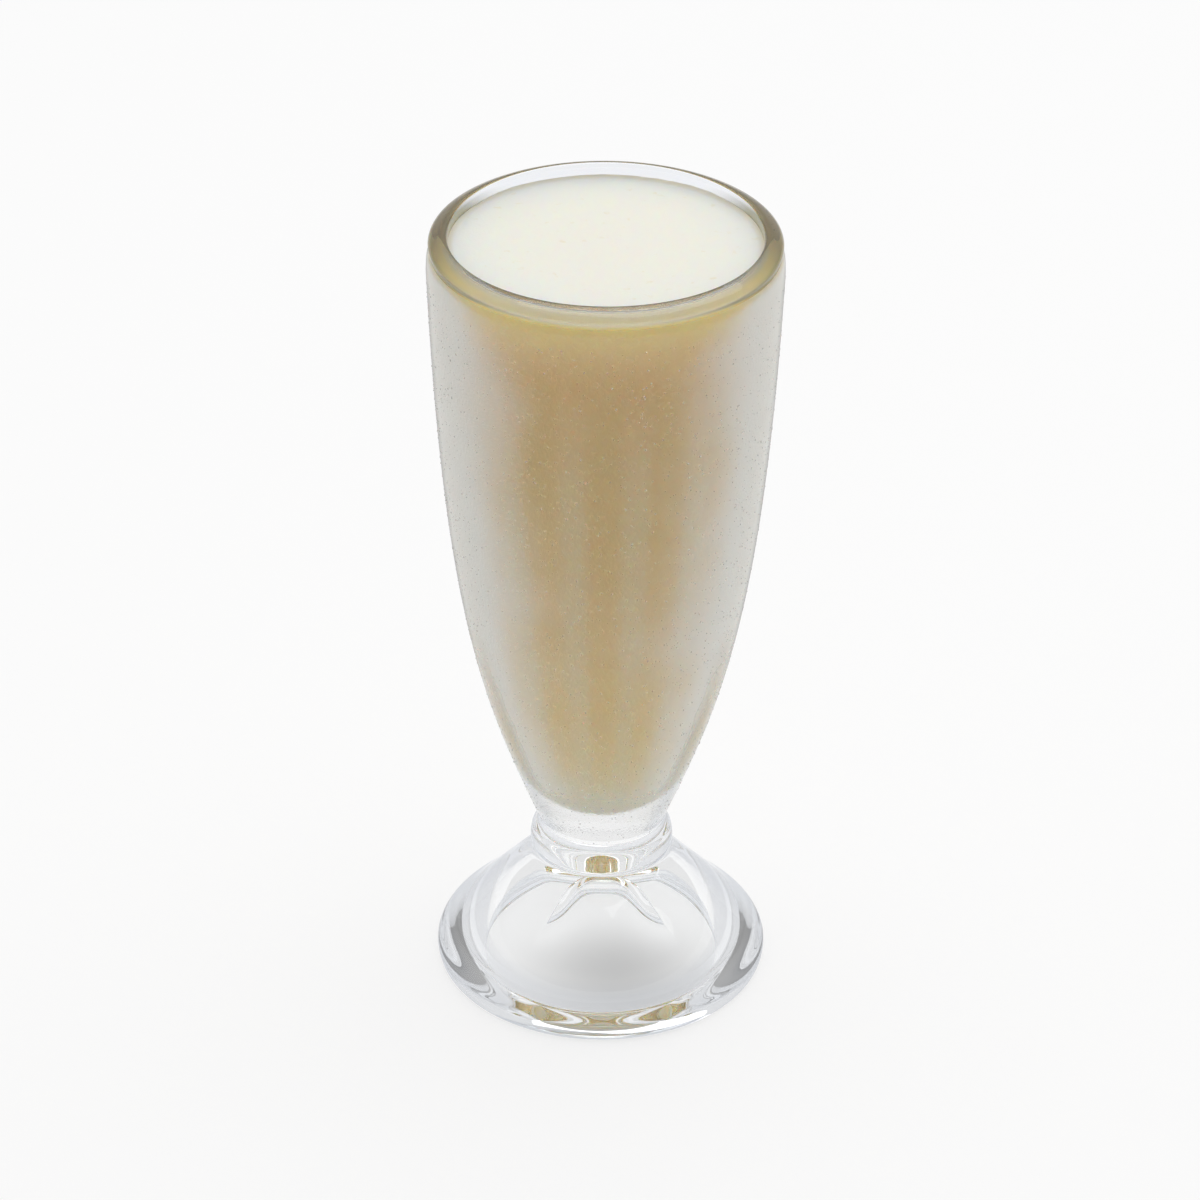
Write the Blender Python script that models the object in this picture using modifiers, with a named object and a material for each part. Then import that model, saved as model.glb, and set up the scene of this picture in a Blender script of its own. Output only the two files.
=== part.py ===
"""Vanilla milkshake in its footed soda glass.

One thick pressed glass, in one piece, and the drink that fills it to just under the lip.
Units are metres, +Z is up, and the origin is at the centre of the foot, on the table.
"""
import math

import bpy
from mathutils import Vector
from mathutils.geometry import interpolate_bezier

# Heights above the table
LIP_TOP_Z = 0.1905
BEAD_Z = 0.1882
GROOVE_Z = 0.1868
BOWL_TOP_Z = 0.1819
DRINK_LEVEL_Z = 0.1874
BOWL_FLOOR_Z = 0.0470
NECK_Z = 0.0389
COLLAR_Z = 0.0324
WAIST_Z = 0.0300
DOME_TOP_Z = 0.0268
DOME_FOOT_Z = 0.0080
FOOT_EDGE_Z = 0.0023
CAVITY_TOP_Z = 0.0268

# Radii from the glass's own axis
LIP_RIDGE_R = 0.0354
LIP_INNER_R = 0.0345
BEAD_R = 0.0388
GROOVE_R = 0.0385
BOWL_TOP_R = 0.0393
NECK_R = 0.0150
COLLAR_R = 0.0168
WAIST_R = 0.0160
DOME_TOP_R = 0.0174
DOME_FOOT_R = 0.0347
FOOT_EDGE_R = 0.0392
BASE_R = 0.0382
MOUTH_R = 0.0290

# Height under which the straight inside of the lip becomes the curved wall
WALL_TOP_Z = 0.1864

# Pressed pattern inside the bowl: shallow flutes that fade out under the lip
FLUTES = 15
FLUTE_DEPTH = 0.0004
FLUTE_TOP_Z = 0.1790

# Pressed pattern under the foot: petals with sharp ridges between them
PETALS = 4
PETAL_DEPTH = 0.0030
PETAL_TURN = math.radians(-3.0)
PETAL_LOW_Z = 0.0070

# Gap between the drink and the glass
DRINK_GAP = 0.0003

# Facets round the axis
SIDES = 60

GLASS_COLOUR = (0.93, 0.95, 0.95, 1.0)
DRINK_COLOUR = (0.86, 0.80, 0.66, 1.0)


def clear_scene():
    """Remove whatever the file opened with."""
    for scene_object in list(bpy.data.objects):
        bpy.data.objects.remove(scene_object, do_unlink=True)


def curve(start, start_handle, end_handle, end, points):
    """Radius and height along a Bezier stretch of an outline, without its last point."""
    knots = [Vector(knot) for knot in (start, start_handle, end_handle, end)]
    return [tuple(point) for point in interpolate_bezier(*knots, points + 1)][:-1]


def bowl_wall(gap=0.0):
    """Inner side of the bowl from its rounded floor up to the lip, or the drink's side of it."""
    return curve(
        (0.0, BOWL_FLOOR_Z + gap),
        (LIP_INNER_R * 0.58, BOWL_FLOOR_Z + gap),
        (LIP_INNER_R - gap - 0.0035, BOWL_FLOOR_Z + 0.0500),
        (LIP_INNER_R - gap, WALL_TOP_Z),
        14,
    )


def lip():
    """Inner edge, ridge near the inside, slope outwards, bead and the groove under it."""
    return [
        (LIP_INNER_R, WALL_TOP_Z),
        (LIP_INNER_R, LIP_TOP_Z - 0.0012),
        (LIP_INNER_R + 0.0003, LIP_TOP_Z - 0.0003),
        (LIP_RIDGE_R, LIP_TOP_Z),
        (LIP_RIDGE_R + 0.0012, LIP_TOP_Z - 0.0003),
        (BEAD_R - 0.0006, BEAD_Z + 0.0011),
        (BEAD_R, BEAD_Z),
        (GROOVE_R, GROOVE_Z),
        (BOWL_TOP_R - 0.0002, GROOVE_Z - 0.0019),
    ]


def bowl_outside():
    """Outer side of the bowl, from its widest ring down to the neck."""
    return curve(
        (BOWL_TOP_R, BOWL_TOP_Z),
        (BOWL_TOP_R - 0.0029, BOWL_TOP_Z - 0.0914),
        (NECK_R + 0.0114, NECK_Z + 0.0303),
        (NECK_R, NECK_Z),
        13,
    )


def foot_outside():
    """Collar, waist, dome and rounded edge of the foot, down to its flat base."""
    collar = curve(
        (NECK_R, NECK_Z),
        (NECK_R, NECK_Z - 0.0025),
        (COLLAR_R, COLLAR_Z + 0.0035),
        (COLLAR_R, COLLAR_Z),
        4,
    )
    undercut = curve(
        (COLLAR_R, COLLAR_Z),
        (COLLAR_R, COLLAR_Z - 0.0013),
        (WAIST_R, WAIST_Z + 0.0012),
        (WAIST_R, WAIST_Z),
        3,
    )
    fillet = curve(
        (WAIST_R, WAIST_Z),
        (WAIST_R, WAIST_Z - 0.0015),
        (DOME_TOP_R - 0.0007, DOME_TOP_Z + 0.0008),
        (DOME_TOP_R, DOME_TOP_Z),
        3,
    )
    dome = curve(
        (DOME_TOP_R, DOME_TOP_Z),
        (DOME_TOP_R + 0.0060, DOME_TOP_Z - 0.0062),
        (DOME_FOOT_R - 0.0056, DOME_FOOT_Z + 0.0060),
        (DOME_FOOT_R, DOME_FOOT_Z),
        5,
    )
    shoulder = curve(
        (DOME_FOOT_R, DOME_FOOT_Z),
        (DOME_FOOT_R + 0.0022, DOME_FOOT_Z - 0.0020),
        (FOOT_EDGE_R, FOOT_EDGE_Z + 0.0022),
        (FOOT_EDGE_R, FOOT_EDGE_Z),
        4,
    )
    edge = curve(
        (FOOT_EDGE_R, FOOT_EDGE_Z),
        (FOOT_EDGE_R, FOOT_EDGE_Z - 0.0014),
        (BASE_R + 0.0006, 0.0),
        (BASE_R, 0.0),
        3,
    )
    return collar + undercut + fillet + dome + shoulder + edge + [(BASE_R, 0.0)]


def foot_hollow():
    """The cone-shaped hollow under the foot, from its mouth up to its top on the axis."""
    cone = curve(
        (MOUTH_R - 0.0004, 0.0006),
        (MOUTH_R - 0.0040, 0.0115),
        (MOUTH_R * 0.31, CAVITY_TOP_Z - 0.0010),
        (0.0, CAVITY_TOP_Z),
        9,
    )
    return [(MOUTH_R, 0.0)] + cone + [(0.0, CAVITY_TOP_Z)]


def turned_mesh(name, outline):
    """Turn an outline that runs from axis to axis down its outer side."""
    profile = bpy.data.meshes.new(name + "_profile")
    vertices = [(radius, 0.0, z) for radius, z in outline]
    edges = [(index, index + 1) for index in range(len(outline) - 1)]
    profile.from_pydata(vertices, edges, [])
    turned = bpy.data.objects.new(name + "_turned", profile)
    bpy.context.scene.collection.objects.link(turned)
    screw = turned.modifiers.new("Turn", "SCREW")
    screw.steps = SIDES
    screw.render_steps = SIDES
    screw.use_merge_vertices = True
    screw.merge_threshold = 0.00001
    depsgraph = bpy.context.evaluated_depsgraph_get()
    mesh = bpy.data.meshes.new_from_object(turned.evaluated_get(depsgraph))
    mesh.name = name
    bpy.data.objects.remove(turned, do_unlink=True)
    bpy.data.meshes.remove(profile)
    return mesh


def ease(value):
    """Rise smoothly from 0 to 1 as the value runs from 0 to 1."""
    value = min(max(value, 0.0), 1.0)
    return value * value * (3.0 - 2.0 * value)


def flute_relief(angle, radius, z):
    """How far the bowl's wall stands in between two flutes."""
    fade = ease((FLUTE_TOP_Z - z) / 0.012) * ease(radius / 0.020)
    return FLUTE_DEPTH * fade * 0.5 * (1.0 - math.cos(FLUTES * angle))


def petal_relief(angle, radius, z):
    """How far the ridge between two petals stands into the foot's hollow."""
    fade = ease((z - PETAL_LOW_Z) / 0.010) * ease(radius / 0.012)
    crest = 1.0 - abs(math.cos(0.5 * PETALS * (angle + PETAL_TURN)))
    return PETAL_DEPTH * fade * crest ** 1.5


def outline_key(radius, z):
    """A point of an outline in whole hundredths of a millimetre."""
    return round(radius * 1e5), round(z * 1e5)


def press_pattern(mesh, outline, relief):
    """Move the vertices turned from this stretch of outline towards the axis by the relief."""
    pressed = {outline_key(radius, z) for radius, z in outline if radius > 0.0005}
    for vertex in mesh.vertices:
        x, y, z = vertex.co
        radius = math.hypot(x, y)
        if outline_key(radius, z) not in pressed:
            continue
        angle = math.atan2(x, -y)
        scale = 1.0 - relief(angle, radius, z) / radius
        vertex.co.x = x * scale
        vertex.co.y = y * scale


def material(name, colour, roughness, transmission):
    """The surface of one of the pieces."""
    surface = bpy.data.materials.new(name)
    surface.use_nodes = True
    shader = surface.node_tree.nodes["Principled BSDF"]
    shader.inputs["Base Color"].default_value = colour
    shader.inputs["Roughness"].default_value = roughness
    shader.inputs["Metallic"].default_value = 0.0
    shader.inputs["Transmission Weight"].default_value = transmission
    return surface


def add_piece(name, mesh, surface, collection):
    """Make the mesh an object of the collection, shaded smooth."""
    piece = bpy.data.objects.new(name, mesh)
    mesh.materials.append(surface)
    mesh.shade_smooth()
    mesh.set_sharp_from_angle(angle=math.radians(35.0))
    collection.objects.link(piece)


def make_glass(collection):
    """The glass: bowl, collar and hollow foot, pressed in one piece."""
    wall = bowl_wall()
    hollow = foot_hollow()
    mesh = turned_mesh("glass", wall + lip() + bowl_outside() + foot_outside() + hollow)
    press_pattern(mesh, wall, flute_relief)
    press_pattern(mesh, hollow, petal_relief)
    add_piece("glass", mesh, material("clear_glass", GLASS_COLOUR, 0.05, 1.0), collection)


def make_milkshake(collection):
    """The drink, solid up to its level and just clear of the glass."""
    wall = bowl_wall(DRINK_GAP)
    side_r = LIP_INNER_R - DRINK_GAP
    top = [(0.0, DRINK_LEVEL_Z), (side_r, DRINK_LEVEL_Z), (side_r, WALL_TOP_Z)]
    mesh = turned_mesh("milkshake", top + wall[::-1])
    press_pattern(mesh, wall, flute_relief)
    add_piece("milkshake", mesh, material("milkshake", DRINK_COLOUR, 0.5, 0.0), collection)


def main():
    """Build the milkshake in a collection of its own."""
    clear_scene()
    collection = bpy.data.collections.new("vanilla_milkshake")
    bpy.context.scene.collection.children.link(collection)
    make_glass(collection)
    make_milkshake(collection)


main()
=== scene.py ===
"""Vanilla milkshake in its footed soda glass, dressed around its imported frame.

The panel in the 3D view's sidebar lists the pieces and the sizes and colours behind them.
Units are metres, +Z is up, and the origin is at the centre of the foot, on the table.
"""
import math

import bpy
import numpy as np
from bpy.props import FloatProperty, FloatVectorProperty, IntProperty, PointerProperty
from mathutils import Euler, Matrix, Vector, noise
from mathutils.geometry import interpolate_bezier


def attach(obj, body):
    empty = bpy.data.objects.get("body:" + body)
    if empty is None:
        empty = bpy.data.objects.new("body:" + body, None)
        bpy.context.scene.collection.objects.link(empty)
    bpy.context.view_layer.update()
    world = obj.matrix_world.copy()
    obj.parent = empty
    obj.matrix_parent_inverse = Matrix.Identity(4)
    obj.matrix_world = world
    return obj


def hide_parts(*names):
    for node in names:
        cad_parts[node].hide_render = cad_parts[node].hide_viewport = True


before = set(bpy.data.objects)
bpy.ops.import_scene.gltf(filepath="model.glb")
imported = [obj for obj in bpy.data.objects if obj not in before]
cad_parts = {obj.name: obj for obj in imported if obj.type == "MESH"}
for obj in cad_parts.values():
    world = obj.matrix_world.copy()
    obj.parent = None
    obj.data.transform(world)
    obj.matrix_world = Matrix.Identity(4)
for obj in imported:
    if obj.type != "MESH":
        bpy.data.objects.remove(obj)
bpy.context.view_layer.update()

bl_info = {
    "name": "Vanilla Milkshake",
    "version": (1, 0, 0),
    "blender": (4, 5, 0),
    "location": "3D View > Sidebar > Milkshake",
    "description": "Builds a vanilla milkshake in its misted soda glass",
    "category": "Add Mesh",
}

# Heights above the table
LIP_TOP_Z = 0.1905
BEAD_Z = 0.1882
GROOVE_Z = 0.1868
BOWL_TOP_Z = 0.1819
BOWL_FLOOR_Z = 0.0470
NECK_Z = 0.0389
COLLAR_Z = 0.0324
WAIST_Z = 0.0300
DOME_TOP_Z = 0.0268
DOME_FOOT_Z = 0.0080
FOOT_EDGE_Z = 0.0023
CAVITY_TOP_Z = 0.0268
WALL_TOP_Z = 0.1864

# Radii from the glass's own axis
LIP_RIDGE_R = 0.0354
LIP_INNER_R = 0.0345
BEAD_R = 0.0388
GROOVE_R = 0.0385
BOWL_TOP_R = 0.0393
NECK_R = 0.0150
COLLAR_R = 0.0168
WAIST_R = 0.0160
DOME_TOP_R = 0.0174
DOME_FOOT_R = 0.0347
FOOT_EDGE_R = 0.0392
BASE_R = 0.0382
MOUTH_R = 0.0290

# Where the pressed patterns fade out, and over which height or radius they do
FLUTE_TOP_Z = 0.1790
FLUTE_FADE_Z = 0.012
FLUTE_FADE_R = 0.020
PETAL_LOW_Z = 0.0085
PETAL_FADE_Z = 0.010
PETAL_FADE_R = 0.012

# Points along each stretch of the outline
WALL_POINTS = 70
LIP_POINTS = 6
BOWL_POINTS = 64
COLLAR_POINTS = 14
UNDERCUT_POINTS = 8
FILLET_POINTS = 8
DOME_POINTS = 24
SHOULDER_POINTS = 12
EDGE_POINTS = 8
HOLLOW_POINTS = 44
TOP_RINGS = 60

# Heights between the cream's colours: paler near the froth, warmer painted light in the narrow end, palest
# painted light at the bottom
UPPER_CREAM_Z = 0.1700
NARROW_TOP_Z = 0.1520
LOWEST_TOP_Z = 0.0670

# Heights between which the mist thins out towards the neck, and at which it ends
THIN_MIST_Z = (0.050, 0.115)
MIST_END_Z = 0.0500

# Under this height the mist leaves the outline of the bowl's wall nearly bare
CLEAR_EDGE_Z = 0.0700

# Heights between which the painted shades of the neck and of the foot's ring fade out
NECK_SHADE_Z = (0.0440, 0.0490)
RING_SHADE_Z = (0.0035, 0.0070)

# Width of the froth's edge that clings to the wall, and of the rise in it
CLING_REACH = 0.0022
CLING_RISE = 0.0018

# How strongly water bends light, and how far red, green and blue travel in the drink against each other
WATER_REFRACTION = 1.33
GLOW_REACH = (1.0, 0.72, 0.42)

# Middle and reach of the painted shadow under the foot, where the floor's glow is dimmed for the shade that
# the full bowl throws forwards
PAINTED_SHADE_PLACE = (0.004, -0.012, 0.0)
PAINTED_SHADE_R = 0.030

# The floor lies just under the foot, and the lamp hangs overhead, a little behind
FLOOR_Z = -0.0002
SOFTBOX_PLACE = (0.25, 0.35, 1.6)
SOFTBOX_TARGET = (0.0, 0.0, 0.1)
SOFTBOX_SIZE = 1.6

# The camera stands where the outline of the glass agrees with the photograph
CAMERA_PLACE = (-0.00075, -0.80298, 0.58706)
CAMERA_PITCH = math.radians(90.0 - 31.407)
CAMERA_ROLL = math.radians(0.4)
CAMERA_LENS = 123.17
CAMERA_SENSOR = 36.0


def curve(start, start_handle, end_handle, end, points):
    """Radius and height along a Bezier stretch of an outline, without its last point."""
    knots = [Vector(knot) for knot in (start, start_handle, end_handle, end)]
    return [tuple(point) for point in interpolate_bezier(*knots, points + 1)][:-1]


def rounded(corners, points):
    """A smooth line through all the corners, without its last point."""
    knots = [Vector(corner) for corner in corners]
    line = []
    for index in range(len(knots) - 1):
        before = knots[max(index - 1, 0)]
        start, end = knots[index], knots[index + 1]
        after = knots[min(index + 2, len(knots) - 1)]
        reach = (end - start).length / 3.0
        start_way = (end - before).normalized() * reach
        end_way = (after - start).normalized() * reach
        line += curve(start, start + start_way, end - end_way, end, points)
    return line


def bowl_wall(reach=0.0):
    """Inner side of the bowl from its rounded floor up to the lip, or that much outside it."""
    return curve(
        (0.0, BOWL_FLOOR_Z - reach),
        (LIP_INNER_R * 0.58, BOWL_FLOOR_Z - reach),
        (LIP_INNER_R + reach - 0.0035, BOWL_FLOOR_Z + 0.0500),
        (LIP_INNER_R + reach, WALL_TOP_Z),
        WALL_POINTS,
    )


def lip():
    """Inner edge, ridge near the inside, slope outwards, bead and the groove under it."""
    corners = [
        (LIP_INNER_R, WALL_TOP_Z),
        (LIP_INNER_R, LIP_TOP_Z - 0.0012),
        (LIP_INNER_R + 0.0003, LIP_TOP_Z - 0.0003),
        (LIP_RIDGE_R, LIP_TOP_Z),
        (LIP_RIDGE_R + 0.0012, LIP_TOP_Z - 0.0003),
        (BEAD_R - 0.0006, BEAD_Z + 0.0011),
        (BEAD_R, BEAD_Z),
        (GROOVE_R, GROOVE_Z),
        (BOWL_TOP_R - 0.0002, GROOVE_Z - 0.0019),
        (BOWL_TOP_R, BOWL_TOP_Z),
    ]
    return rounded(corners, LIP_POINTS)


def bowl_outside():
    """Outer side of the bowl, from its widest ring down to the neck."""
    return curve(
        (BOWL_TOP_R, BOWL_TOP_Z),
        (BOWL_TOP_R - 0.0029, BOWL_TOP_Z - 0.0914),
        (NECK_R + 0.0114, NECK_Z + 0.0303),
        (NECK_R, NECK_Z),
        BOWL_POINTS,
    )


def foot_outside():
    """Collar, waist, dome and rounded edge of the foot, down to its flat base."""
    collar = curve(
        (NECK_R, NECK_Z),
        (NECK_R, NECK_Z - 0.0025),
        (COLLAR_R, COLLAR_Z + 0.0035),
        (COLLAR_R, COLLAR_Z),
        COLLAR_POINTS,
    )
    undercut = curve(
        (COLLAR_R, COLLAR_Z),
        (COLLAR_R, COLLAR_Z - 0.0013),
        (WAIST_R, WAIST_Z + 0.0012),
        (WAIST_R, WAIST_Z),
        UNDERCUT_POINTS,
    )
    fillet = curve(
        (WAIST_R, WAIST_Z),
        (WAIST_R, WAIST_Z - 0.0015),
        (DOME_TOP_R - 0.0007, DOME_TOP_Z + 0.0008),
        (DOME_TOP_R, DOME_TOP_Z),
        FILLET_POINTS,
    )
    dome = curve(
        (DOME_TOP_R, DOME_TOP_Z),
        (DOME_TOP_R + 0.0060, DOME_TOP_Z - 0.0062),
        (DOME_FOOT_R - 0.0056, DOME_FOOT_Z + 0.0060),
        (DOME_FOOT_R, DOME_FOOT_Z),
        DOME_POINTS,
    )
    shoulder = curve(
        (DOME_FOOT_R, DOME_FOOT_Z),
        (DOME_FOOT_R + 0.0022, DOME_FOOT_Z - 0.0020),
        (FOOT_EDGE_R, FOOT_EDGE_Z + 0.0022),
        (FOOT_EDGE_R, FOOT_EDGE_Z),
        SHOULDER_POINTS,
    )
    edge = curve(
        (FOOT_EDGE_R, FOOT_EDGE_Z),
        (FOOT_EDGE_R, FOOT_EDGE_Z - 0.0014),
        (BASE_R + 0.0006, 0.0),
        (BASE_R, 0.0),
        EDGE_POINTS,
    )
    return collar + undercut + fillet + dome + shoulder + edge + [(BASE_R, 0.0)]


def foot_hollow():
    """The cone-shaped hollow under the foot, from its mouth up to its top on the axis."""
    cone = curve(
        (MOUTH_R - 0.0004, 0.0006),
        (MOUTH_R - 0.0040, 0.0115),
        (MOUTH_R * 0.31, CAVITY_TOP_Z - 0.0010),
        (0.0, CAVITY_TOP_Z),
        HOLLOW_POINTS,
    )
    return [(MOUTH_R, 0.0)] + cone + [(0.0, CAVITY_TOP_Z)]


def turned_mesh(name, outline, sides):
    """Turn an outline that runs from axis to axis down its outer side."""
    profile = bpy.data.meshes.new(name + "_profile")
    vertices = [(radius, 0.0, z) for radius, z in outline]
    edges = [(index, index + 1) for index in range(len(outline) - 1)]
    profile.from_pydata(vertices, edges, [])
    turned = bpy.data.objects.new(name + "_turned", profile)
    bpy.context.scene.collection.objects.link(turned)
    screw = turned.modifiers.new("Turn", "SCREW")
    screw.steps = sides
    screw.render_steps = sides
    screw.use_merge_vertices = True
    screw.merge_threshold = 0.000005
    depsgraph = bpy.context.evaluated_depsgraph_get()
    mesh = bpy.data.meshes.new_from_object(turned.evaluated_get(depsgraph))
    mesh.name = name
    bpy.data.objects.remove(turned, do_unlink=True)
    bpy.data.meshes.remove(profile)
    return mesh


def ease(value):
    """Rise smoothly from 0 to 1 as the value runs from 0 to 1."""
    value = min(max(value, 0.0), 1.0)
    return value * value * (3.0 - 2.0 * value)


def flute_relief(glass, angle, radius, z):
    """How far the bowl's wall stands in between two flutes."""
    fade = ease((FLUTE_TOP_Z - z) / FLUTE_FADE_Z) * ease(radius / FLUTE_FADE_R)
    return glass.flute_depth * fade * 0.5 * (1.0 - math.cos(glass.flutes * angle))


def petal_relief(glass, angle, radius, z):
    """How far the ridge between two petals stands into the foot's hollow."""
    fade = ease((z - PETAL_LOW_Z) / PETAL_FADE_Z) * ease(radius / PETAL_FADE_R)
    crest = 1.0 - abs(math.cos(0.5 * glass.petals * (angle + glass.petal_turn)))
    return glass.petal_depth * fade * crest ** 1.5


def outline_key(radius, z):
    """A point of an outline in whole hundredths of a millimetre."""
    return round(radius * 1e5), round(z * 1e5)


def on_outline(mesh, outline):
    """The vertices turned from this stretch of outline, each with its angle and radius."""
    keys = {outline_key(radius, z) for radius, z in outline}
    for vertex in mesh.vertices:
        x, y, z = vertex.co
        radius = math.hypot(x, y)
        if outline_key(radius, z) in keys:
            yield vertex, math.atan2(x, -y), radius


def press_pattern(mesh, outline, relief):
    """Move the vertices turned from this stretch of outline towards the axis by the relief."""
    for vertex, angle, radius in list(on_outline(mesh, outline)):
        if radius > 0.0005:
            scale = 1.0 - relief(angle, radius, vertex.co.z) / radius
            vertex.co.x *= scale
            vertex.co.y *= scale


def make_object(name, mesh, surfaces, sharp_angle=40.0):
    """Add the mesh to the scene under this name, smooth and with its surfaces."""
    for surface in surfaces:
        mesh.materials.append(surface)
    mesh.shade_smooth()
    mesh.set_sharp_from_angle(angle=math.radians(sharp_angle))
    piece = bpy.data.objects.new(name, mesh)
    bpy.context.scene.collection.objects.link(piece)
    return piece


def new_surface(name):
    """A material with its node tree and its Principled BSDF."""
    surface = bpy.data.materials.new(name)
    surface.use_nodes = True
    return surface, surface.node_tree, surface.node_tree.nodes["Principled BSDF"]


def add_node(tree, kind, place, **values):
    """A node at this place, with these properties."""
    node = tree.nodes.new(kind)
    node.location = place
    for key, value in values.items():
        setattr(node, key, value)
    return node


def grain(tree, coordinates, scale, detail, place):
    """A noise texture in the piece's own metres."""
    texture = add_node(tree, "ShaderNodeTexNoise", place)
    texture.inputs["Scale"].default_value = scale
    texture.inputs["Detail"].default_value = detail
    tree.links.new(coordinates, texture.inputs["Vector"])
    return texture.outputs["Fac"]


def spread(tree, value, low, high, start, end, place, kind="LINEAR"):
    """Map the value's range from low to high onto start to end, clamped."""
    node = add_node(tree, "ShaderNodeMapRange", place, interpolation_type=kind)
    node.inputs["From Min"].default_value = low
    node.inputs["From Max"].default_value = high
    node.inputs["To Min"].default_value = start
    node.inputs["To Max"].default_value = end
    tree.links.new(value, node.inputs["Value"])
    return node.outputs["Result"]


def combine(tree, operation, first, second, place):
    """One Math node on two values or sockets."""
    node = add_node(tree, "ShaderNodeMath", place, operation=operation)
    for index, value in enumerate((first, second)):
        if isinstance(value, (int, float)):
            node.inputs[index].default_value = value
        else:
            tree.links.new(value, node.inputs[index])
    return node.outputs["Value"]


def blend_colours(tree, share, first, second, place):
    """A colour between two colours or sockets, by the share."""
    node = add_node(tree, "ShaderNodeMix", place, data_type="RGBA")
    tree.links.new(share, node.inputs["Factor"])
    for socket, colour in ((node.inputs[6], first), (node.inputs[7], second)):
        if isinstance(colour, bpy.types.NodeSocket):
            tree.links.new(colour, socket)
        else:
            socket.default_value = tuple(colour)
    return node.outputs[2]


def axes_of(tree, coordinates, place):
    """The X, Y and Z of these coordinates."""
    node = add_node(tree, "ShaderNodeSeparateXYZ", place)
    tree.links.new(coordinates, node.inputs["Vector"])
    return node.outputs["X"], node.outputs["Y"], node.outputs["Z"]


def seen_slantwise(tree, place):
    """How far the surface turns away: 0 seen straight on, 1 seen along it."""
    node = add_node(tree, "ShaderNodeLayerWeight", place)
    node.inputs["Blend"].default_value = 0.5
    return node.outputs["Facing"]


def raise_grain(tree, shader, height, strength, distance, place):
    """Give the shader a bump from this height."""
    bump = add_node(tree, "ShaderNodeBump", place)
    bump.inputs["Strength"].default_value = strength
    bump.inputs["Distance"].default_value = distance
    tree.links.new(height, bump.inputs["Height"])
    tree.links.new(bump.outputs["Normal"], shader.inputs["Normal"])


def tint_and_painted_reflections(tree, glass, height, left):
    """Nearly white, with painted reflections: olive where the thick lip is seen slantwise, and blue-grey
    where the foot is, along the glass's edges and as a painted shade on the foot's ring.
    """
    facing = seen_slantwise(tree, (left, 500))
    high = spread(tree, height, GROOVE_Z - 0.0040, GROOVE_Z, 0.0, 1.0, (left + 200, 700))
    lip_edge = spread(tree, facing, 0.25, 0.62, 0.0, 1.0, (left + 200, 500), "SMOOTHSTEP")
    low_edge = spread(tree, facing, 0.42, 1.00, 0.0, 1.0, (left + 200, 300), "SMOOTHSTEP")
    # Painted shade: the foot's ring is tinted grey-blue
    ring = spread(tree, height, RING_SHADE_Z[1], RING_SHADE_Z[0], 0.0, 1.0, (left + 100, 1100))
    plain = blend_colours(tree, ring, glass.tint, glass.ring_shade_tint, (left + 200, 1000))
    plain = blend_colours(tree, high, plain, glass.lip_front, (left + 300, 900))
    # Painted reflection: blue-grey where the glass is seen along its edges
    tint = blend_colours(tree, low_edge, plain, glass.edge_reflection_colour, (left + 400, 300))
    # Painted reflection: dark olive where the thick lip is seen slantwise
    olive = combine(tree, "MULTIPLY", lip_edge, high, (left + 400, 500))
    return blend_colours(tree, olive, tint, glass.lip_reflection_colour, (left + 600, 500))


def clear_glass_surface(glass):
    """Polished pressed glass with the faint waviness that the mould leaves."""
    surface, tree, shader = new_surface("clear_glass")
    place = add_node(tree, "ShaderNodeTexCoord", (-900, 0)).outputs["Object"]
    _, _, height = axes_of(tree, place, (-1400, 700))
    tree.links.new(tint_and_painted_reflections(tree, glass, height, -1200), shader.inputs["Base Color"])
    shader.inputs["IOR"].default_value = glass.refraction
    shader.inputs["Transmission Weight"].default_value = 1.0
    polish = grain(tree, place, 160.0, 2.0, (-700, 0))
    tree.links.new(spread(tree, polish, 0.4, 0.8, 0.0, 0.02, (-400, 0)), shader.inputs["Roughness"])
    waves = grain(tree, place, 90.0, 1.0, (-700, -300))
    raise_grain(tree, shader, waves, 0.15, 0.0002, (-300, -300))
    return surface


def mist_thickness(tree, place, height, facing):
    """How thick the mist looks: thin seen straight on, thick along the glass, with a slow drift."""
    thin_below = spread(tree, height, *THIN_MIST_Z, 0.31, 0.14, (-800, -100))
    slow = grain(tree, place, 32.0, 2.0, (-1200, -900))
    drift = spread(tree, slow, 0.3, 0.7, -0.06, 0.06, (-1000, -900))
    slant = combine(tree, "SUBTRACT", facing, thin_below, (-700, -200))
    slant = combine(tree, "ADD", slant, drift, (-600, -200))
    return spread(tree, slant, 0.05, 0.45, 0.0, 1.0, (-500, -200), "SMOOTHSTEP")


def bare_edge(tree, height, facing):
    """Where the outline of the low wall is nearly bare glass."""
    low_wall = spread(tree, height, CLEAR_EDGE_Z + 0.0300, CLEAR_EDGE_Z, 0.0, 1.0, (-800, -1000))
    wall_edge = spread(tree, facing, 0.56, 0.72, 0.0, 1.0, (-800, -1150), "SMOOTHSTEP")
    return combine(tree, "MULTIPLY", low_wall, wall_edge, (-600, -1050))


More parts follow.
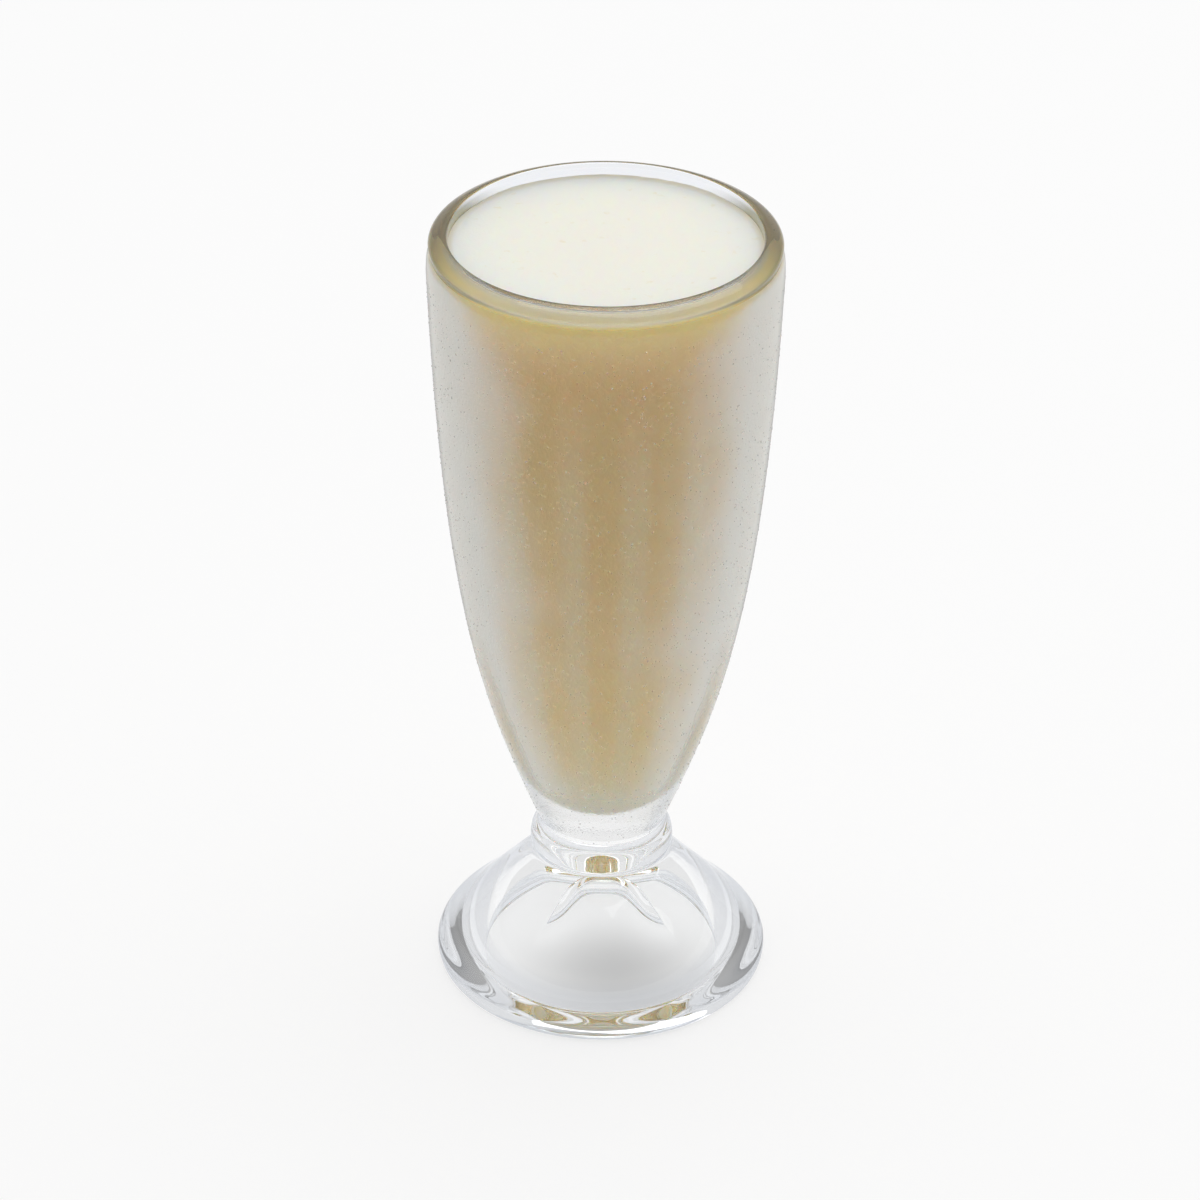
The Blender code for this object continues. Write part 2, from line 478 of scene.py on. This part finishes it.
def mist_tint(tree, glass, height, facing, thick, bare):
    """Colour of the misted glass: clear with a painted grey shade over the neck, mist, a painted blue-grey
    reflection on the bare edge, and a painted dark shade at the outline.
    """
    # Painted shade: the bare glass over the neck is tinted grey
    above_neck = spread(tree, height, *NECK_SHADE_Z, 0.0, 1.0, (-800, 500))
    clear = blend_colours(tree, above_neck, glass.neck_shade_tint, glass.tint, (-600, 300))
    mist = blend_colours(tree, thick, clear, glass.mist_colour, (-400, 300))
    # Painted reflection: half of the bare low edge takes the blue-grey edge tint
    half_bare = combine(tree, "MULTIPLY", bare, 0.5, (-500, 650))
    mist = blend_colours(tree, half_bare, mist, glass.edge_reflection_colour, (-350, 450))
    # Painted shade: the mist turns dark grey where the bowl turns away at its outline
    outline = spread(tree, facing, 0.82, 0.98, 0.0, 1.0, (-400, 500))
    return blend_colours(tree, outline, mist, glass.outline_shade_colour, (-250, 300))


def misted_glass_surface(glass):
    """The bowl's cold outside, dulled by a film of drops too fine to see one by one."""
    surface, tree, shader = new_surface("misted_glass")
    place = add_node(tree, "ShaderNodeTexCoord", (-1400, 0)).outputs["Object"]
    _, _, height = axes_of(tree, place, (-1000, -100))
    facing = seen_slantwise(tree, (-1000, -250))
    thick = mist_thickness(tree, place, height, facing)
    bare = bare_edge(tree, height, facing)
    tree.links.new(mist_tint(tree, glass, height, facing, thick, bare), shader.inputs["Base Color"])
    shader.inputs["IOR"].default_value = glass.refraction

    upper = spread(tree, height, GROOVE_Z, GROOVE_Z - glass.mist_fade, 0.0, 1.0, (-800, -400))
    lower = spread(tree, height, MIST_END_Z, MIST_END_Z + 0.0090, 0.15, 1.0, (-800, -550), "SMOOTHSTEP")
    cover = combine(tree, "MULTIPLY", upper, lower, (-600, -450))
    bare_share = combine(tree, "MULTIPLY", bare, 0.75, (-500, -1050))
    misted_share = combine(tree, "SUBTRACT", 1.0, bare_share, (-400, -1050))
    fine = grain(tree, place, 1500.0, 2.0, (-900, -700))
    flecks = spread(tree, fine, 0.50, 0.68, 0.0, glass.mist_flecks, (-700, -700))
    haze = spread(tree, thick, 0.0, 1.0, glass.mist_haze, glass.mist_edge, (-400, -200))
    haze = combine(tree, "ADD", haze, flecks, (-350, -300))
    haze = combine(tree, "MULTIPLY", haze, misted_share, (-300, -350))
    haze = combine(tree, "MULTIPLY", haze, cover, (-250, -250))
    clearness = combine(tree, "SUBTRACT", 1.0, haze, (-150, -250))
    tree.links.new(clearness, shader.inputs["Transmission Weight"])

    patches = grain(tree, place, 120.0, 3.0, (-900, 100))
    least, most = glass.mist_roughness * 0.85, glass.mist_roughness * 1.15
    dull = spread(tree, patches, 0.3, 0.7, least, most, (-600, 100))
    dull = combine(tree, "MULTIPLY", dull, lower, (-450, 100))
    dull = combine(tree, "MULTIPLY", dull, misted_share, (-350, 100))
    tree.links.new(dull, shader.inputs["Roughness"])
    raise_grain(tree, shader, fine, 0.4, 0.0002, (-300, -300))
    return surface


def drop_surface(beads):
    """Slightly milky water, with a little variation in how sharp its highlights are."""
    surface, tree, shader = new_surface("water_beads")
    place = add_node(tree, "ShaderNodeTexCoord", (-900, 0)).outputs["Object"]
    shader.inputs["Base Color"].default_value = (1.0, 1.0, 1.0, 1.0)
    shader.inputs["IOR"].default_value = WATER_REFRACTION
    shader.inputs["Transmission Weight"].default_value = beads.clearness
    film = grain(tree, place, 300.0, 1.0, (-700, 0))
    tree.links.new(spread(tree, film, 0.3, 0.7, 0.0, 0.08, (-400, 0)), shader.inputs["Roughness"])
    return surface


def flute_highlight_stripes(tree, axes, flutes, shake):
    """Painted highlight: how pale the drink is painted where light gathers at the middle of a flute."""
    across, away, height = axes
    forwards = combine(tree, "MULTIPLY", away, -1.0, (-1500, 1000))
    angle = combine(tree, "ARCTAN2", across, forwards, (-1350, 1000))
    turns = combine(tree, "MULTIPLY", angle, float(flutes), (-1200, 1000))
    wave = combine(tree, "COSINE", turns, 0.0, (-1050, 1000))
    pale = spread(tree, wave, 0.6, -1.0, 0.0, shake.stripe_highlight_strength, (-900, 1000), "SMOOTHSTEP")
    below = spread(tree, height, FLUTE_TOP_Z, FLUTE_TOP_Z - 0.0450, 0.0, 1.0, (-900, 800), "SMOOTHSTEP")
    return combine(tree, "MULTIPLY", pale, below, (-700, 900))


def cream_tint(tree, place, axes, flutes, shake):
    """Colour of the drink's side, from just under the froth down to its rounded bottom, with painted
    highlight stripes along the flutes and painted light in the narrow end and at the bottom.
    """
    height = axes[2]
    swirl = spread(tree, grain(tree, place, 45.0, 3.0, (-1300, 0)), 0.35, 0.65, 0.0, 1.0, (-1100, 0))
    cream = blend_colours(tree, swirl, shake.side_colour, shake.side_pale, (-900, 0))
    upper = spread(tree, height, UPPER_CREAM_Z, UPPER_CREAM_Z + 0.0120, 0.0, 1.0, (-1100, 900))
    cream = blend_colours(tree, upper, cream, shake.upper_colour, (-820, 200))
    # Painted light: warmer, brighter cream in the narrow end, for the light that shines through it
    narrow = spread(tree, height, BOWL_FLOOR_Z, NARROW_TOP_Z, 1.0, 0.0, (-1100, 500))
    cream = blend_colours(tree, narrow, cream, shake.narrow_light_colour, (-780, 250))
    # Painted highlights: pale stripes along the middles of the flutes
    stripes = flute_highlight_stripes(tree, axes, flutes, shake)
    cream = blend_colours(tree, stripes, cream, shake.stripe_highlight_colour, (-750, 300))
    # Painted light: palest cream at the rounded bottom, for the light coming up through the foot
    lowest = spread(tree, height, BOWL_FLOOR_Z, LOWEST_TOP_Z, 1.0, 0.0, (-1100, 700), "SMOOTHSTEP")
    return blend_colours(tree, lowest, cream, shake.bottom_light_colour, (-720, 350))


def froth_tint(tree, place, shake):
    """Colour of the drink's top: white with a few deeper specks, and a thin line round its edge."""
    speck = grain(tree, place, 420.0, 2.0, (-1300, -250))
    speck_share = spread(tree, speck, 0.66, 0.76, 0.0, 0.55, (-1100, -250))
    froth = blend_colours(tree, speck_share, shake.froth_colour, shake.speck_colour, (-900, -250))
    flat = add_node(tree, "ShaderNodeVectorMath", (-1500, -800), operation="MULTIPLY")
    tree.links.new(place, flat.inputs[0])
    flat.inputs[1].default_value = (1.0, 1.0, 0.0)
    reach = add_node(tree, "ShaderNodeVectorMath", (-1300, -800), operation="LENGTH")
    tree.links.new(flat.outputs["Vector"], reach.inputs[0])
    line = (LIP_INNER_R - 0.0016, LIP_INNER_R - 0.0002)
    rim_share = spread(tree, reach.outputs["Value"], *line, 0.0, 1.0, (-1100, -800), "SMOOTHSTEP")
    return blend_colours(tree, rim_share, froth, shake.rim_colour, (-800, -400))


def shake_surface(flutes, shake):
    """Thick vanilla milk: white froth on top, deeper cream against the glass."""
    surface, tree, shader = new_surface("vanilla_milkshake")
    place = add_node(tree, "ShaderNodeTexCoord", (-1700, 0)).outputs["Object"]
    axes = axes_of(tree, place, (-1500, 300))
    froth_z = (shake.level - shake.froth_depth, shake.level - 0.0002)
    froth_share = spread(tree, axes[2], *froth_z, 0.0, 1.0, (-1100, 300), "SMOOTHSTEP")
    cream = cream_tint(tree, place, axes, flutes, shake)
    froth = froth_tint(tree, place, shake)
    colour = blend_colours(tree, froth_share, cream, froth, (-650, 100))
    tree.links.new(colour, shader.inputs["Base Color"])
    shader.inputs["Subsurface Weight"].default_value = 1.0
    shader.inputs["Subsurface Radius"].default_value = GLOW_REACH
    shader.inputs["Subsurface Scale"].default_value = shake.glow_depth
    foam = grain(tree, place, 1500.0, 2.0, (-1300, -500))
    tree.links.new(spread(tree, foam, 0.3, 0.7, 0.38, 0.55, (-1000, -500)), shader.inputs["Roughness"])
    raise_grain(tree, shader, foam, 0.25, 0.0002, (-700, -500))
    return surface


class GlassSettings(bpy.types.PropertyGroup):
    """Sizes and finish of the pressed glass, with its painted reflections and shades."""

    sides: IntProperty(name="Sides", description="Facets round the axis", default=240, min=60, max=480)
    flutes: IntProperty(name="Flutes", description="Shallow flutes inside the bowl", default=15, min=3)
    flute_depth: FloatProperty(
        name="Flute depth", description="Depth of a flute", default=0.0004, unit="LENGTH", precision=5
    )
    petals: IntProperty(name="Petals", description="Petals pressed under the foot", default=4, min=2)
    petal_depth: FloatProperty(
        name="Petal depth", description="Height of the ridge between two petals", default=0.0030,
        unit="LENGTH", precision=5,
    )
    petal_turn: FloatProperty(
        name="Petal turn", description="How far the petals are turned from the front",
        default=math.radians(-3.0), subtype="ANGLE",
    )
    tint: FloatVectorProperty(
        name="Tint", description="Colour that the clear glass lets through",
        default=(0.985, 0.992, 0.995, 1.0), size=4, subtype="COLOR", min=0.0, max=1.0,
    )
    refraction: FloatProperty(
        name="Refraction", description="How strongly the glass bends light", default=1.52
    )
    # Painted reflection: a blue-grey tint where the glass is seen along its edges
    edge_reflection_colour: FloatVectorProperty(
        name="Edge colour", description="Tint of the glass along its edges",
        default=(0.40, 0.45, 0.54, 1.0), size=4, subtype="COLOR", min=0.0, max=1.0,
    )
    # Painted shade: a grey-blue tint on the thick ring that the foot stands on
    ring_shade_tint: FloatVectorProperty(
        name="Ring tint", description="Tint of the thick ring that the foot stands on",
        default=(0.80, 0.825, 0.865, 1.0), size=4, subtype="COLOR", min=0.0, max=1.0,
    )
    lip_front: FloatVectorProperty(
        name="Lip tint", description="Tint of the lip where it is seen straight on",
        default=(0.93, 0.945, 0.98, 1.0), size=4, subtype="COLOR", min=0.0, max=1.0,
    )
    # Painted reflection: a dark olive tint on the lip where it is seen from the side
    lip_reflection_colour: FloatVectorProperty(
        name="Lip colour", description="Tint of the thick lip where it is seen from the side",
        default=(0.14, 0.135, 0.07, 1.0), size=4, subtype="COLOR", min=0.0, max=1.0,
    )
    mist_fade: FloatProperty(
        name="Mist fade", description="Height over which the mist begins under the lip", default=0.0015,
        unit="LENGTH", precision=5,
    )
    # Painted shade: dark grey where the misted bowl turns away at its outline
    outline_shade_colour: FloatVectorProperty(
        name="Outline colour", description="Colour of the mist where the bowl turns away",
        default=(0.28, 0.29, 0.30, 1.0), size=4, subtype="COLOR", min=0.0, max=1.0,
    )
    # Painted shade: grey on the bare glass between the drink and the collar
    neck_shade_tint: FloatVectorProperty(
        name="Neck tint", description="Tint of the bare glass between the drink and the collar",
        default=(0.80, 0.80, 0.80, 1.0), size=4, subtype="COLOR", min=0.0, max=1.0,
    )
    mist_flecks: FloatProperty(
        name="Mist flecks", description="How much whiter the coarser drops of the mist are", default=0.08,
        subtype="FACTOR", min=0.0, max=1.0,
    )
    mist_colour: FloatVectorProperty(
        name="Mist colour", description="Colour of the film of fine drops",
        default=(0.78, 0.785, 0.75, 1.0), size=4, subtype="COLOR", min=0.0, max=1.0,
    )
    mist_haze: FloatProperty(
        name="Mist haze", description="Share of the light that the mist scatters, seen straight on",
        default=0.03, subtype="FACTOR",
    )
    mist_edge: FloatProperty(
        name="Mist edge", description="The same share at the bowl's edges, seen along the glass",
        default=0.85, subtype="FACTOR",
    )
    mist_roughness: FloatProperty(
        name="Mist blur", description="How far the mist blurs what is behind it", default=0.35,
        subtype="FACTOR",
    )


class ShakeSettings(bpy.types.PropertyGroup):
    """Level and colours of the milkshake, with its painted highlights and painted light."""

    level: FloatProperty(
        name="Level", description="Height of the drink's top", default=0.1874, unit="LENGTH", precision=5
    )
    wall_bite: FloatProperty(
        name="Wall bite", description="How far the drink reaches into the wall, so that no air gap shows",
        default=0.0004, unit="LENGTH", precision=5,
    )
    froth_colour: FloatVectorProperty(
        name="Froth", description="Colour of the top", default=(0.93, 0.905, 0.81, 1.0),
        size=4, subtype="COLOR", min=0.0, max=1.0,
    )
    rim_colour: FloatVectorProperty(
        name="Rim line", description="Colour of the thin edge of the froth against the wall",
        default=(0.80, 0.73, 0.56, 1.0), size=4, subtype="COLOR", min=0.0, max=1.0,
    )
    speck_colour: FloatVectorProperty(
        name="Specks", description="Colour of the few deeper spots in the froth",
        default=(0.86, 0.78, 0.58, 1.0), size=4, subtype="COLOR", min=0.0, max=1.0,
    )
    side_colour: FloatVectorProperty(
        name="Cream", description="Colour against the glass", default=(0.87, 0.68, 0.27, 1.0),
        size=4, subtype="COLOR", min=0.0, max=1.0,
    )
    side_pale: FloatVectorProperty(
        name="Pale cream", description="Colour of the paler swirls against the glass",
        default=(0.875, 0.69, 0.295, 1.0), size=4, subtype="COLOR", min=0.0, max=1.0,
    )
    # Painted highlights: pale stripes along the flutes, where light gathers
    stripe_highlight_colour: FloatVectorProperty(
        name="Stripes", description="Colour of the pale stripes along the flutes",
        default=(1.0, 0.815, 0.52, 1.0), size=4, subtype="COLOR", min=0.0, max=1.0,
    )
    stripe_highlight_strength: FloatProperty(
        name="Stripe strength", description="How clearly the stripes show", default=0.90, subtype="FACTOR",
        min=0.0, max=1.0,
    )
    # Painted light: the pale cream at the rounded bottom stands for light coming up through the foot
    bottom_light_colour: FloatVectorProperty(
        name="Lowest cream", description="Colour at the rounded bottom", default=(1.0, 0.87, 0.71, 1.0),
        size=4, subtype="COLOR", min=0.0, max=1.0,
    )
    upper_colour: FloatVectorProperty(
        name="Upper cream", description="Colour just under the froth", default=(0.93, 0.77, 0.44, 1.0),
        size=4, subtype="COLOR", min=0.0, max=1.0,
    )
    # Painted light: the warmer, brighter cream in the narrow end stands for light shining through the thin
    # drink
    narrow_light_colour: FloatVectorProperty(
        name="Low cream", description="Colour in the narrow end of the bowl, where light comes through",
        default=(0.995, 0.765, 0.38, 1.0), size=4, subtype="COLOR", min=0.0, max=1.0,
    )
    froth_depth: FloatProperty(
        name="Froth depth", description="How far the white froth fades down into the cream", default=0.0020,
        unit="LENGTH", precision=5,
    )
    glow_depth: FloatProperty(
        name="Glow depth", description="How deep light soaks into the drink", default=0.0220,
        unit="LENGTH", precision=5,
    )


class BeadSettings(bpy.types.PropertyGroup):
    """Drops on the bowl's cold outside."""

    count: IntProperty(name="Drops", description="Number of drops on the bowl", default=8000, min=0)
    smallest: FloatProperty(
        name="Smallest", description="Radius of the smallest drop", default=0.00010,
        unit="LENGTH", precision=5,
    )
    largest: FloatProperty(
        name="Largest", description="Radius of the largest drop", default=0.00024,
        unit="LENGTH", precision=5,
    )
    clearness: FloatProperty(
        name="Clearness", description="How clear the drops are; the rest of them scatters light",
        default=0.65, subtype="FACTOR", min=0.0, max=1.0,
    )
    draw: IntProperty(name="Draw", description="Seed of the random places", default=7)


class StageSettings(bpy.types.PropertyGroup):
    """Floor and soft studio light."""

    floor_colour: FloatVectorProperty(
        name="Floor", description="Colour of the pale floor", default=(0.25, 0.25, 0.25, 1.0),
        size=4, subtype="COLOR", min=0.0, max=1.0,
    )
    floor_glow: FloatProperty(
        name="Floor glow", description="Light that shines up through the floor, so that shadows stay faint",
        default=0.74,
    )
    # Painted shadow: the share of the floor's glow that is left under the foot
    painted_shade_share: FloatProperty(
        name="Light under the foot", description="How much of the floor's light is left under the foot",
        default=0.6, subtype="FACTOR", min=0.0, max=1.0,
    )
    floor_size: FloatProperty(
        name="Floor size", description="Width of the floor", default=8.0, unit="LENGTH"
    )
    tent_light: FloatProperty(
        name="Tent light", description="Brightness of the sides and back", default=0.80
    )
    front_light: FloatProperty(
        name="Front light", description="Brightness of the side behind the camera", default=0.25
    )
    top_power: FloatProperty(
        name="Top light", description="Power of the lamp overhead", default=9.5, unit="POWER"
    )


def swirl_height(x, y):
    """Gentle unevenness of the drink's top."""
    slow = noise.noise(Vector((x * 70.0, y * 70.0, 0.3)))
    fine = noise.noise(Vector((x * 420.0, y * 420.0, 1.7)))
    return 0.00012 * slow + 0.00003 * fine


def creep_height(angle):
    """How far the froth clings up the wall, round the edge."""
    long_wave = noise.noise(Vector((math.sin(angle) * 2.2, math.cos(angle) * 2.2, 4.0)))
    short_wave = noise.noise(Vector((math.sin(angle) * 14.0, math.cos(angle) * 14.0, 9.0)))
    return 0.00030 + 0.00022 * long_wave + 0.00008 * short_wave


class MILKSHAKE_OT_glass(bpy.types.Operator):
    """Build the pressed glass: bowl, collar and hollow foot in one piece"""

    bl_idname = "milkshake.glass"
    bl_label = "Glass"
    bl_options = {"REGISTER", "UNDO"}

    def execute(self, context):
        glass = context.scene.milkshake_glass
        wall, hollow, misted = bowl_wall(), foot_hollow(), bowl_outside()
        outline = wall + lip() + misted + foot_outside() + hollow
        mesh = turned_mesh("soda_glass", outline, glass.sides)
        press_pattern(mesh, wall, lambda *point: flute_relief(glass, *point))
        press_pattern(mesh, hollow, lambda *point: petal_relief(glass, *point))
        surfaces = [clear_glass_surface(glass), misted_glass_surface(glass)]
        piece = make_object("soda_glass", mesh, surfaces)
        under_bead = [point for point in lip() if point[0] > BEAD_R - 0.0010 and point[1] < GROOVE_Z]
        cold = {vertex.index for vertex, _, _ in on_outline(mesh, under_bead + misted)}
        if not cold:
            raise RuntimeError("the bowl has no outer side to mist")
        for face in mesh.polygons:
            face.material_index = int(all(index in cold for index in face.vertices))
        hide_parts("glass")
        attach(piece, "root")
        return {"FINISHED"}


class MILKSHAKE_OT_shake(bpy.types.Operator):
    """Build the drink, which reaches just into the wall, with froth clinging to its edge"""

    bl_idname = "milkshake.shake"
    bl_label = "Milkshake"
    bl_options = {"REGISTER", "UNDO"}

    def execute(self, context):
        glass, shake = context.scene.milkshake_glass, context.scene.milkshake_shake
        wall = bowl_wall(shake.wall_bite)
        side_r = LIP_INNER_R + shake.wall_bite
        top = [(side_r * (index / TOP_RINGS) ** 0.8, shake.level) for index in range(TOP_RINGS)]
        side = [(side_r, shake.level), (side_r, WALL_TOP_Z)]
        mesh = turned_mesh("milkshake_fill", top + side + wall[::-1], glass.sides)
        press_pattern(mesh, wall, lambda *point: flute_relief(glass, *point))
        for vertex, angle, radius in list(on_outline(mesh, top + side[:1])):
            cling = ease((radius - side_r + CLING_REACH) / CLING_RISE) ** 2
            vertex.co.z += swirl_height(vertex.co.x, vertex.co.y) + cling * creep_height(angle)
        piece = make_object("milkshake_fill", mesh, [shake_surface(glass.flutes, shake)], 50.0)
        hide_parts("milkshake")
        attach(piece, "root")
        return {"FINISHED"}


def dome_template(sides):
    """Vertices and faces of one unit drop, flat side down and closed."""
    turns = [2.0 * math.pi * index / sides for index in range(sides)]
    foot = [(math.cos(turn), math.sin(turn), -0.25) for turn in turns]
    waist = [(0.80 * math.cos(turn), 0.80 * math.sin(turn), 0.42) for turn in turns]
    vertices = foot + waist + [(0.0, 0.0, 0.68)]
    faces = [tuple(reversed(range(sides)))]
    for index in range(sides):
        after = (index + 1) % sides
        faces.append((index, after, sides + after, sides + index))
        faces.append((sides + index, sides + after, 2 * sides))
    return np.array(vertices), faces


def scattered_drops(name, places, outwards, radii, sides=6):
    """One mesh with a drop at each place, standing along its outward direction."""
    template, faces = dome_template(sides)
    along = np.cross(outwards, np.array([0.3, 0.2, 0.93]))
    along /= np.linalg.norm(along, axis=1)[:, None]
    across = np.cross(outwards, along)
    axes = np.stack((along, across, outwards), axis=1)
    vertices = places[:, None, :] + radii[:, None, None] * np.einsum("vk,nkc->nvc", template, axes)
    mesh = bpy.data.meshes.new(name)
    stride = len(template)
    all_faces = [
        tuple(stride * drop + index for index in face)
        for drop in range(len(places))
        for face in faces
    ]
    mesh.from_pydata(vertices.reshape(-1, 3).tolist(), [], all_faces)
    return mesh


class MILKSHAKE_OT_beads(bpy.types.Operator):
    """Scatter drops of water over the bowl's cold outside"""

    bl_idname = "milkshake.beads"
    bl_label = "Drops on the glass"
    bl_options = {"REGISTER", "UNDO"}

    def execute(self, context):
        beads = context.scene.milkshake_beads
        line = np.array(bowl_outside() + [(NECK_R, NECK_Z)])
        steps = np.linalg.norm(np.diff(line, axis=0), axis=1)
        area = np.concatenate(([0.0], np.cumsum(steps * 0.5 * (line[1:, 0] + line[:-1, 0]))))
        draw = np.random.default_rng(beads.draw)
        along = draw.random(beads.count) * area[-1]
        radius = np.interp(along, area, line[:, 0])
        height = np.interp(along, area, line[:, 1])
        slope_r = np.interp(along, area, np.gradient(line[:, 0], np.arange(len(line))))
        slope_z = np.interp(along, area, np.gradient(line[:, 1], np.arange(len(line))))
        angle = draw.random(beads.count) * 2.0 * math.pi
        size = beads.smallest + (beads.largest - beads.smallest) * draw.random(beads.count) ** 4.0
        length = np.hypot(slope_r, slope_z)
        out_r, out_z = -slope_z / length, slope_r / length
        places = np.stack((radius * np.sin(angle), -radius * np.cos(angle), height), axis=1)
        outwards = np.stack((out_r * np.sin(angle), -out_r * np.cos(angle), out_z), axis=1)
        mesh = scattered_drops("water_beads", places, outwards, size)
        piece = make_object("water_beads", mesh, [drop_surface(beads)], 80.0)
        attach(piece, "root")
        return {"FINISHED"}


def tent_world(stage):
    """White light tent round the object, open and dim on the side behind the camera."""
    world = bpy.data.worlds.new("light_tent")
    world.use_nodes = True
    tree = world.node_tree
    background = tree.nodes["Background"]
    direction = add_node(tree, "ShaderNodeTexCoord", (-900, 0)).outputs["Generated"]
    _, away, _ = axes_of(tree, direction, (-700, 0))
    backwards = spread(tree, away, -0.75, 0.15, 0.0, 1.0, (-450, 100))
    front = (stage.front_light, stage.front_light, stage.front_light, 1.0)
    tent = (stage.tent_light, stage.tent_light, stage.tent_light, 1.0)
    colour = blend_colours(tree, backwards, front, tent, (-200, 0))
    tree.links.new(colour, background.inputs["Color"])
    background.inputs["Strength"].default_value = 1.0
    return world


def add_softbox(name, place, target, size, power):
    """A large square lamp that faces the target."""
    lamp = bpy.data.lights.new(name, "AREA")
    lamp.energy = power
    lamp.size = size
    softbox = bpy.data.objects.new(name, lamp)
    softbox.location = place
    softbox.rotation_euler = (Vector(target) - Vector(place)).to_track_quat("-Z", "Y").to_euler()
    bpy.context.scene.collection.objects.link(softbox)


def floor_surface(stage):
    """Matt pale board with a very faint grain, glowing evenly except for a painted shadow under the foot.
    """
    surface, tree, shader = new_surface("pale_board")
    place = add_node(tree, "ShaderNodeTexCoord", (-900, 0)).outputs["Object"]
    board = grain(tree, place, 40.0, 3.0, (-700, 0))
    darker = [channel * 0.995 for channel in stage.floor_colour[:3]] + [1.0]
    grained = spread(tree, board, 0.3, 0.7, 0.0, 1.0, (-500, 0))
    shade = blend_colours(tree, grained, stage.floor_colour, darker, (-300, 0))
    tree.links.new(shade, shader.inputs["Base Color"])
    shader.inputs["Emission Color"].default_value = (1.0, 1.0, 1.0, 1.0)
    # Painted shadow: the floor's glow is dimmed round a spot under the foot, for the shade that the full
    # bowl throws
    away = add_node(tree, "ShaderNodeVectorMath", (-700, -300), operation="DISTANCE")
    tree.links.new(place, away.inputs[0])
    away.inputs[1].default_value = PAINTED_SHADE_PLACE
    painted_shade_glow = stage.floor_glow * stage.painted_shade_share
    glow = spread(
        tree, away.outputs["Value"], 0.0, PAINTED_SHADE_R, painted_shade_glow, stage.floor_glow, (-400, -300), "SMOOTHSTEP"
    )
    tree.links.new(glow, shader.inputs["Emission Strength"])
    shader.inputs["Roughness"].default_value = 0.9
    shader.inputs["Specular IOR Level"].default_value = 0.1
    return surface


class MILKSHAKE_OT_stage(bpy.types.Operator):
    """Set up the pale floor, the soft studio light and the camera"""

    bl_idname = "milkshake.stage"
    bl_label = "Floor, light and camera"
    bl_options = {"REGISTER", "UNDO"}

    def execute(self, context):
        scene, stage = context.scene, context.scene.milkshake_stage
        bpy.ops.mesh.primitive_plane_add(size=stage.floor_size, location=(0.0, 0.0, FLOOR_Z))
        floor = context.active_object
        floor.name = "floor"
        floor.data.materials.append(floor_surface(stage))
        scene.world = tent_world(stage)
        add_softbox("top_softbox", SOFTBOX_PLACE, SOFTBOX_TARGET, SOFTBOX_SIZE, stage.top_power)
        lens = bpy.data.cameras.new("camera")
        lens.lens = CAMERA_LENS
        lens.sensor_width = CAMERA_SENSOR
        camera = bpy.data.objects.new("camera", lens)
        camera.location = CAMERA_PLACE
        camera.rotation_euler = Euler((CAMERA_PITCH, 0.0, 0.0), "XYZ")
        camera.rotation_euler.rotate_axis("Z", CAMERA_ROLL)
        scene.collection.objects.link(camera)
        scene.camera = camera
        scene.view_settings.view_transform = "Standard"
        scene.cycles.max_bounces = 48
        scene.cycles.diffuse_bounces = 12
        scene.cycles.glossy_bounces = 32
        scene.cycles.transmission_bounces = 32
        return {"FINISHED"}


class MILKSHAKE_PT_sidebar(bpy.types.Panel):
    """List the pieces with their sizes and colours"""

    bl_idname = "MILKSHAKE_PT_sidebar"
    bl_label = "Vanilla Milkshake"
    bl_space_type = "VIEW_3D"
    bl_region_type = "UI"
    bl_category = "Milkshake"

    def draw(self, context):
        for operator, group in PIECES:
            box = self.layout.box()
            box.operator(operator.bl_idname)
            settings = getattr(context.scene, group)
            for key in settings.__annotations__:
                box.prop(settings, key)


SETTINGS = {
    "milkshake_glass": GlassSettings,
    "milkshake_shake": ShakeSettings,
    "milkshake_beads": BeadSettings,
    "milkshake_stage": StageSettings,
}
PIECES = [
    (MILKSHAKE_OT_stage, "milkshake_stage"),
    (MILKSHAKE_OT_glass, "milkshake_glass"),
    (MILKSHAKE_OT_shake, "milkshake_shake"),
    (MILKSHAKE_OT_beads, "milkshake_beads"),
]


def register():
    """Make the settings, operators and panel known to Blender."""
    for key, group in SETTINGS.items():
        bpy.utils.register_class(group)
        setattr(bpy.types.Scene, key, PointerProperty(type=group))
    for operator, _ in PIECES:
        bpy.utils.register_class(operator)
    bpy.utils.register_class(MILKSHAKE_PT_sidebar)


def unregister():
    """Take them away again, in reverse order."""
    bpy.utils.unregister_class(MILKSHAKE_PT_sidebar)
    for operator, _ in reversed(PIECES):
        bpy.utils.unregister_class(operator)
    for key, group in reversed(list(SETTINGS.items())):
        delattr(bpy.types.Scene, key)
        bpy.utils.unregister_class(group)


def main():
    """Register the add-on and build every piece in order."""
    register()
    for operator, _ in PIECES:
        prefix, name = operator.bl_idname.split(".")
        getattr(getattr(bpy.ops, prefix), name)()


if __name__ == "__main__":
    main()
